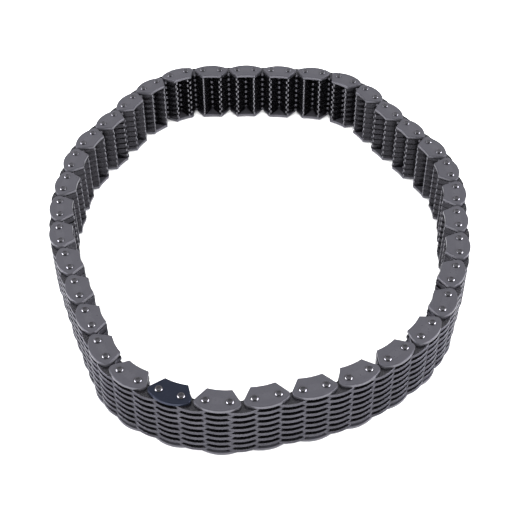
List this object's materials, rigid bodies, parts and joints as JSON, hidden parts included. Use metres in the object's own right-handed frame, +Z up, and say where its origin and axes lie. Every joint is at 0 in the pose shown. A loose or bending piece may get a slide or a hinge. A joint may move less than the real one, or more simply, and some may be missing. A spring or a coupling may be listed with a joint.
{
  "type": "inverted-tooth power take-off chain",
  "caption": "Closed loop of wide inverted-tooth drive chain lying on its side, with toothed plates stacked on riveted pins, guide plates at both edges and one dark marker plate.",
  "frame": {"origin": "middle of the loop's footprint, on the surface that the lower pin heads rest on", "axes": "+Z up, across the width of the chain; +Y along the loop's longer extent, away from the marked link; +X to the right seen from the marked link's side"},
  "size_m": [0.2304, 0.291, 0.0333],
  "materials": {
    "plate_steel": "dark oiled steel, satin",
    "pin_steel": "dark steel, smooth riveted heads",
    "marker_steel": "blue-black oxide"
  },
  "bodies": {
    "link_01": {"marker_guide_plate": "marker_steel", "marker_link_lower_guide_plate": "plate_steel", "marker_link_plates": "plate_steel", "marker_link_pin_01": "pin_steel", "marker_link_pin_02": "pin_steel"},
    "link_02": {"inner_link_02": "plate_steel"},
    "links_03_04": {"link_pair_03_04": "plate_steel"},
    "link_05": {"outer_link_05": "plate_steel"},
    "links_06_07": {"link_pair_06_07": "plate_steel"},
    "link_08": {"inner_link_08": "plate_steel"},
    "link_09": {"outer_link_09": "plate_steel"},
    "link_10": {"inner_link_10": "plate_steel"},
    "link_11": {"outer_link_11": "plate_steel"},
    "links_12_13": {"link_pair_12_13": "plate_steel"},
    "link_14": {"inner_link_14": "plate_steel"},
    "links_15_16": {"link_pair_15_16": "plate_steel"},
    "link_17": {"outer_link_17": "plate_steel"},
    "link_18": {"inner_link_18": "plate_steel"},
    "link_19": {"outer_link_19": "plate_steel"},
    "link_20": {"inner_link_20": "plate_steel"},
    "links_21_22": {"link_pair_21_22": "plate_steel"},
    "link_23": {"outer_link_23": "plate_steel"},
    "links_24_25": {"link_pair_24_25": "plate_steel"},
    "link_26": {"inner_link_26": "plate_steel"},
    "link_27": {"outer_link_27": "plate_steel"},
    "link_28": {"inner_link_28": "plate_steel"},
    "link_29": {"outer_link_29": "plate_steel"},
    "links_30_31": {"link_pair_30_31": "plate_steel"},
    "link_32": {"inner_link_32": "plate_steel"},
    "links_33_34": {"link_pair_33_34": "plate_steel"},
    "link_35": {"outer_link_35": "plate_steel"},
    "link_36": {"inner_link_36": "plate_steel"},
    "link_37": {"outer_link_37": "plate_steel"},
    "link_38": {"inner_link_38": "plate_steel"},
    "links_39_40": {"link_pair_39_40": "plate_steel"},
    "link_41": {"outer_link_41": "plate_steel"},
    "links_42_43": {"link_pair_42_43": "plate_steel"},
    "link_44": {"inner_link_44": "plate_steel"},
    "link_45": {"outer_link_45": "plate_steel"},
    "link_46": {"inner_link_46": "plate_steel"},
    "link_47": {"outer_link_47": "plate_steel"},
    "links_48_49": {"link_pair_48_49": "plate_steel"},
    "link_50": {"inner_link_50": "plate_steel"},
    "links_51_52": {"link_pair_51_52": "plate_steel"},
    "link_53": {"outer_link_53": "plate_steel"},
    "link_54": {"inner_link_54": "plate_steel"},
    "link_55": {"outer_link_55": "plate_steel"},
    "link_56": {"inner_link_56": "plate_steel"},
    "links_57_58": {"link_pair_57_58": "plate_steel"},
    "link_59": {"outer_link_59": "plate_steel"},
    "links_60_61": {"link_pair_60_61": "plate_steel"},
    "link_62": {"inner_link_62": "plate_steel"},
    "link_63": {"outer_link_63": "plate_steel"},
    "link_64": {"inner_link_64": "plate_steel"},
    "link_65": {"outer_link_65": "plate_steel"},
    "links_66_67": {"link_pair_66_67": "plate_steel"},
    "link_68": {"inner_link_68": "plate_steel"},
    "links_69_70": {"link_pair_69_70": "plate_steel"},
    "link_71": {"outer_link_71": "plate_steel"},
    "link_72": {"inner_link_72": "plate_steel"}
  },
  "joints": [
    {"name": "pin_02", "type": "hinge", "parent": "link_01", "child": "link_02", "pos_m": [-0.0351, -0.13671, 0.01667], "axis": [0, 0, 1], "range_deg": [-2.41, 2.41]},
    {"name": "pin_03", "type": "hinge", "parent": "link_02", "child": "links_03_04", "pos_m": [-0.02423, -0.13902, 0.01667], "axis": [0, 0, 1], "range_deg": [-2.94, 2.94]},
    {"name": "pin_05", "type": "hinge", "parent": "links_03_04", "child": "link_05", "pos_m": [-0.00224, -0.13825, 0.01667], "axis": [0, 0, 1], "range_deg": [-0.4881, 0.4881]},
    {"name": "pin_06", "type": "hinge", "parent": "link_05", "child": "links_06_07", "pos_m": [0.00854, -0.13557, 0.01667], "axis": [0, 0, 1], "range_deg": [-4.59, 4.59]},
    {"name": "pin_08", "type": "hinge", "parent": "links_06_07", "child": "link_08", "pos_m": [0.03015, -0.13039, 0.01667], "axis": [0, 0, 1], "range_deg": [-1.38, 1.38]},
    {"name": "pin_09", "type": "hinge", "parent": "link_08", "child": "link_09", "pos_m": [0.04045, -0.12623, 0.01667], "axis": [0, 0, 1], "range_deg": [-2.65, 2.65]},
    {"name": "pin_10", "type": "hinge", "parent": "link_09", "child": "link_10", "pos_m": [0.05027, -0.12101, 0.01667], "axis": [0, 0, 1], "range_deg": [-0.2043, 0.2043]},
    {"name": "pin_11", "type": "hinge", "parent": "link_10", "child": "link_11", "pos_m": [0.05937, -0.11464, 0.01667], "axis": [0, 0, 1], "range_deg": [-2.52, 2.52]},
    {"name": "pin_12", "type": "hinge", "parent": "link_11", "child": "links_12_13", "pos_m": [0.06801, -0.10765, 0.01667], "axis": [0, 0, 1], "range_deg": [-4.66, 4.66]},
    {"name": "pin_14", "type": "hinge", "parent": "links_12_13", "child": "link_14", "pos_m": [0.08293, -0.09138, 0.01667], "axis": [0, 0, 1], "range_deg": [-1.59, 1.59]},
    {"name": "pin_15", "type": "hinge", "parent": "link_14", "child": "links_15_16", "pos_m": [0.08915, -0.08217, 0.01667], "axis": [0, 0, 1], "range_deg": [-1.13, 1.13]},
    {"name": "pin_17", "type": "hinge", "parent": "links_15_16", "child": "link_17", "pos_m": [0.09639, -0.06118, 0.01667], "axis": [0, 0, 1], "range_deg": [-3.28, 3.28]},
    {"name": "pin_18", "type": "hinge", "parent": "link_17", "child": "link_18", "pos_m": [0.10037, -0.05081, 0.01667], "axis": [0, 0, 1], "range_deg": [-3.72, 3.72]},
    {"name": "pin_19", "type": "hinge", "parent": "link_18", "child": "link_19", "pos_m": [0.10381, -0.04024, 0.01667], "axis": [0, 0, 1], "range_deg": [-0.9, 0.9]},
    {"name": "pin_20", "type": "hinge", "parent": "link_19", "child": "link_20", "pos_m": [0.10536, -0.02924, 0.01667], "axis": [0, 0, 1], "range_deg": [-1.39, 1.39]},
    {"name": "pin_21", "type": "hinge", "parent": "link_20", "child": "links_21_22", "pos_m": [0.10653, -0.01819, 0.01667], "axis": [0, 0, 1], "range_deg": [-5.13, 5.13]},
    {"name": "pin_23", "type": "hinge", "parent": "links_21_22", "child": "link_23", "pos_m": [0.10866, 0.00391, 0.01667], "axis": [0, 0, 1], "range_deg": [-0.3191, 0.3191]},
    {"name": "pin_24", "type": "hinge", "parent": "link_23", "child": "links_24_25", "pos_m": [0.10983, 0.01496, 0.01667], "axis": [0, 0, 1], "range_deg": [-0.61, 0.61]},
    {"name": "pin_26", "type": "hinge", "parent": "links_24_25", "child": "link_26", "pos_m": [0.1079, 0.0371, 0.01667], "axis": [0, 0, 1], "range_deg": [-0.99, 0.99]},
    {"name": "pin_27", "type": "hinge", "parent": "link_26", "child": "link_27", "pos_m": [0.10484, 0.04779, 0.01667], "axis": [0, 0, 1], "range_deg": [-2.53, 2.53]},
    {"name": "pin_28", "type": "hinge", "parent": "link_27", "child": "link_28", "pos_m": [0.10014, 0.05786, 0.01667], "axis": [0, 0, 1], "range_deg": [-2.93, 2.93]},
    {"name": "pin_29", "type": "hinge", "parent": "link_28", "child": "link_29", "pos_m": [0.09459, 0.06748, 0.01667], "axis": [0, 0, 1], "range_deg": [-1.8, 1.8]},
    {"name": "pin_30", "type": "hinge", "parent": "link_29", "child": "links_30_31", "pos_m": [0.0892, 0.0772, 0.01667], "axis": [0, 0, 1], "range_deg": [-1.35, 1.35]},
    {"name": "pin_32", "type": "hinge", "parent": "links_30_31", "child": "link_32", "pos_m": [0.0781, 0.09645, 0.01667], "axis": [0, 0, 1], "range_deg": [-2.14, 2.14]},
    {"name": "pin_33", "type": "hinge", "parent": "link_32", "child": "links_33_34", "pos_m": [0.07305, 0.10636, 0.01667], "axis": [0, 0, 1], "range_deg": [-5.5, 5.5]},
    {"name": "pin_35", "type": "hinge", "parent": "links_33_34", "child": "link_35", "pos_m": [0.06038, 0.12446, 0.01667], "axis": [0, 0, 1], "range_deg": [-3.28, 3.28]},
    {"name": "pin_36", "type": "hinge", "parent": "link_35", "child": "link_36", "pos_m": [0.0515, 0.13115, 0.01667], "axis": [0, 0, 1], "range_deg": [-4.4, 4.4]},
    {"name": "pin_01", "type": "hinge", "parent": "link_01", "child": "link_72", "pos_m": [-0.04541, -0.13254, 0.01667], "axis": [0, 0, -1], "range_deg": [-3.01, 3.01]},
    {"name": "pin_72", "type": "hinge", "parent": "link_72", "child": "link_71", "pos_m": [-0.05522, -0.12733, 0.01667], "axis": [0, 0, -1], "range_deg": [-1.58, 1.58]},
    {"name": "pin_71", "type": "hinge", "parent": "link_71", "child": "links_69_70", "pos_m": [-0.06421, -0.12079, 0.01667], "axis": [0, 0, -1], "range_deg": [-0.1163, 0.1163]},
    {"name": "pin_69", "type": "hinge", "parent": "links_69_70", "child": "link_68", "pos_m": [-0.07637, -0.10242, 0.01667], "axis": [0, 0, -1], "range_deg": [-5.21, 5.21]},
    {"name": "pin_68", "type": "hinge", "parent": "link_68", "child": "links_66_67", "pos_m": [-0.08054, -0.09212, 0.01667], "axis": [0, 0, -1], "range_deg": [-1.33, 1.33]},
    {"name": "pin_66", "type": "hinge", "parent": "links_66_67", "child": "link_65", "pos_m": [-0.08905, -0.07159, 0.01667], "axis": [0, 0, -1], "range_deg": [-0.9, 0.9]},
    {"name": "pin_65", "type": "hinge", "parent": "link_65", "child": "link_64", "pos_m": [-0.09285, -0.06115, 0.01667], "axis": [0, 0, -1], "range_deg": [-2.73, 2.73]},
    {"name": "pin_64", "type": "hinge", "parent": "link_64", "child": "link_63", "pos_m": [-0.09666, -0.05071, 0.01667], "axis": [0, 0, -1], "range_deg": [-1.74, 1.74]},
    {"name": "pin_63", "type": "hinge", "parent": "link_63", "child": "link_62", "pos_m": [-0.10046, -0.04026, 0.01667], "axis": [0, 0, -1], "range_deg": [-3.9, 3.9]},
    {"name": "pin_62", "type": "hinge", "parent": "link_62", "child": "links_60_61", "pos_m": [-0.10426, -0.02982, 0.01667], "axis": [0, 0, -1], "range_deg": [-1.69, 1.69]},
    {"name": "pin_60", "type": "hinge", "parent": "links_60_61", "child": "link_59", "pos_m": [-0.10793, -0.00794, 0.01667], "axis": [0, 0, -1], "range_deg": [-1.4, 1.4]},
    {"name": "pin_59", "type": "hinge", "parent": "link_59", "child": "links_57_58", "pos_m": [-0.10948, 0.00306, 0.01667], "axis": [0, 0, -1], "range_deg": [-0.59, 0.59]},
    {"name": "pin_57", "type": "hinge", "parent": "links_57_58", "child": "link_56", "pos_m": [-0.10852, 0.02526, 0.01667], "axis": [0, 0, -1], "range_deg": [-5.47, 5.47]},
    {"name": "pin_56", "type": "hinge", "parent": "link_56", "child": "link_55", "pos_m": [-0.10775, 0.03634, 0.01667], "axis": [0, 0, -1], "range_deg": [-0.71, 0.71]},
    {"name": "pin_55", "type": "hinge", "parent": "link_55", "child": "link_54", "pos_m": [-0.10659, 0.04739, 0.01667], "axis": [0, 0, -1], "range_deg": [-0.76, 0.76]},
    {"name": "pin_54", "type": "hinge", "parent": "link_54", "child": "link_53", "pos_m": [-0.10372, 0.05813, 0.01667], "axis": [0, 0, -1], "range_deg": [-4.87, 4.87]},
    {"name": "pin_53", "type": "hinge", "parent": "link_53", "child": "links_51_52", "pos_m": [-0.0992, 0.06828, 0.01667], "axis": [0, 0, -1], "range_deg": [-1.78, 1.78]},
    {"name": "pin_51", "type": "hinge", "parent": "links_51_52", "child": "link_50", "pos_m": [-0.08861, 0.08781, 0.01667], "axis": [0, 0, -1], "range_deg": [-2.4, 2.4]},
    {"name": "pin_50", "type": "hinge", "parent": "link_50", "child": "links_48_49", "pos_m": [-0.08374, 0.0978, 0.01667], "axis": [0, 0, -1], "range_deg": [-0.96, 0.96]},
    {"name": "pin_48", "type": "hinge", "parent": "links_48_49", "child": "link_47", "pos_m": [-0.07299, 0.11722, 0.01667], "axis": [0, 0, -1], "range_deg": [-3.93, 3.93]},
    {"name": "pin_47", "type": "hinge", "parent": "link_47", "child": "link_46", "pos_m": [-0.06541, 0.12535, 0.01667], "axis": [0, 0, -1], "range_deg": [-1.8, 1.8]},
    {"name": "pin_46", "type": "hinge", "parent": "link_46", "child": "link_45", "pos_m": [-0.05716, 0.13279, 0.01667], "axis": [0, 0, -1], "range_deg": [-2.45, 2.45]},
    {"name": "pin_45", "type": "hinge", "parent": "link_45", "child": "link_44", "pos_m": [-0.04735, 0.13801, 0.01667], "axis": [0, 0, -1], "range_deg": [-0.77, 0.77]},
    {"name": "pin_44", "type": "hinge", "parent": "link_44", "child": "links_42_43", "pos_m": [-0.03632, 0.13936, 0.01667], "axis": [0, 0, -1], "range_deg": [-0.51, 0.51]},
    {"name": "pin_42", "type": "hinge", "parent": "links_42_43", "child": "link_41", "pos_m": [-0.0141, 0.13956, 0.01667], "axis": [0, 0, -1], "range_deg": [-5.5, 5.5]},
    {"name": "pin_41", "type": "hinge", "parent": "link_41", "child": "links_39_40", "pos_m": [-0.00299, 0.13976, 0.01667], "axis": [0, 0, -1], "range_deg": [-0.4727, 0.4727]},
    {"name": "pin_39", "type": "hinge", "parent": "links_39_40", "child": "link_38", "pos_m": [0.01917, 0.13802, 0.01667], "axis": [0, 0, -1], "range_deg": [-6.6, 6.6]},
    {"name": "pin_38", "type": "hinge", "parent": "link_38", "child": "link_37", "pos_m": [0.03026, 0.13724, 0.01667], "axis": [0, 0, -1], "range_deg": [-1.19, 1.19]}
  ],
  "couplings": [
    {"joint": "pin_02", "follows": "pin_33", "ratio": 0.4378},
    {"joint": "pin_03", "follows": "pin_39", "ratio": 0.4449},
    {"joint": "pin_05", "follows": "pin_36", "ratio": -0.1109},
    {"joint": "pin_06", "follows": "pin_42", "ratio": 0.8347},
    {"joint": "pin_08", "follows": "pin_33", "ratio": -0.2509},
    {"joint": "pin_09", "follows": "pin_39", "ratio": 0.4014},
    {"joint": "pin_10", "follows": "pin_36", "ratio": -0.0464},
    {"joint": "pin_11", "follows": "pin_42", "ratio": 0.4576},
    {"joint": "pin_12", "follows": "pin_33", "ratio": -0.8475},
    {"joint": "pin_14", "follows": "pin_39", "ratio": -0.2404},
    {"joint": "pin_15", "follows": "pin_36", "ratio": -0.2571},
    {"joint": "pin_17", "follows": "pin_42", "ratio": -0.5955},
    {"joint": "pin_18", "follows": "pin_33", "ratio": -0.6764},
    {"joint": "pin_19", "follows": "pin_39", "ratio": -0.1365},
    {"joint": "pin_20", "follows": "pin_36", "ratio": 0.3158},
    {"joint": "pin_21", "follows": "pin_42", "ratio": -0.9321},
    {"joint": "pin_23", "follows": "pin_33", "ratio": -0.058},
    {"joint": "pin_24", "follows": "pin_39", "ratio": -0.0921},
    {"joint": "pin_26", "follows": "pin_36", "ratio": -0.2259},
    {"joint": "pin_27", "follows": "pin_42", "ratio": -0.4605},
    {"joint": "pin_28", "follows": "pin_33", "ratio": 0.5321},
    {"joint": "pin_29", "follows": "pin_39", "ratio": -0.272},
    {"joint": "pin_30", "follows": "pin_36", "ratio": -0.307},
    {"joint": "pin_32", "follows": "pin_42", "ratio": 0.3886},
    {"joint": "pin_35", "follows": "pin_39", "ratio": -0.4972},
    {"joint": "pin_01", "follows": "pin_42", "ratio": 0.5465},
    {"joint": "pin_72", "follows": "pin_36", "ratio": 0.3584},
    {"joint": "pin_71", "follows": "pin_39", "ratio": -0.0176},
    {"joint": "pin_69", "follows": "pin_33", "ratio": 0.9468},
    {"joint": "pin_68", "follows": "pin_42", "ratio": 0.2423},
    {"joint": "pin_66", "follows": "pin_36", "ratio": 0.205},
    {"joint": "pin_65", "follows": "pin_39", "ratio": -0.4132},
    {"joint": "pin_64", "follows": "pin_33", "ratio": 0.316},
    {"joint": "pin_63", "follows": "pin_42", "ratio": -0.7092},
    {"joint": "pin_62", "follows": "pin_36", "ratio": -0.3839},
    {"joint": "pin_60", "follows": "pin_39", "ratio": -0.2115},
    {"joint": "pin_59", "follows": "pin_33", "ratio": 0.1072},
    {"joint": "pin_57", "follows": "pin_42", "ratio": -0.9938},
    {"joint": "pin_56", "follows": "pin_36", "ratio": -0.1618},
    {"joint": "pin_55", "follows": "pin_39", "ratio": 0.1147},
    {"joint": "pin_54", "follows": "pin_33", "ratio": -0.8861},
    {"joint": "pin_53", "follows": "pin_42", "ratio": -0.3235},
    {"joint": "pin_51", "follows": "pin_36", "ratio": 0.5462},
    {"joint": "pin_50", "follows": "pin_39", "ratio": -0.1454},
    {"joint": "pin_48", "follows": "pin_33", "ratio": -0.715},
    {"joint": "pin_47", "follows": "pin_42", "ratio": 0.3271},
    {"joint": "pin_46", "follows": "pin_36", "ratio": -0.5567},
    {"joint": "pin_45", "follows": "pin_39", "ratio": -0.116},
    {"joint": "pin_44", "follows": "pin_33", "ratio": 0.0931},
    {"joint": "pin_41", "follows": "pin_36", "ratio": -0.1074},
    {"joint": "pin_38", "follows": "pin_33", "ratio": -0.2157}
  ]
}
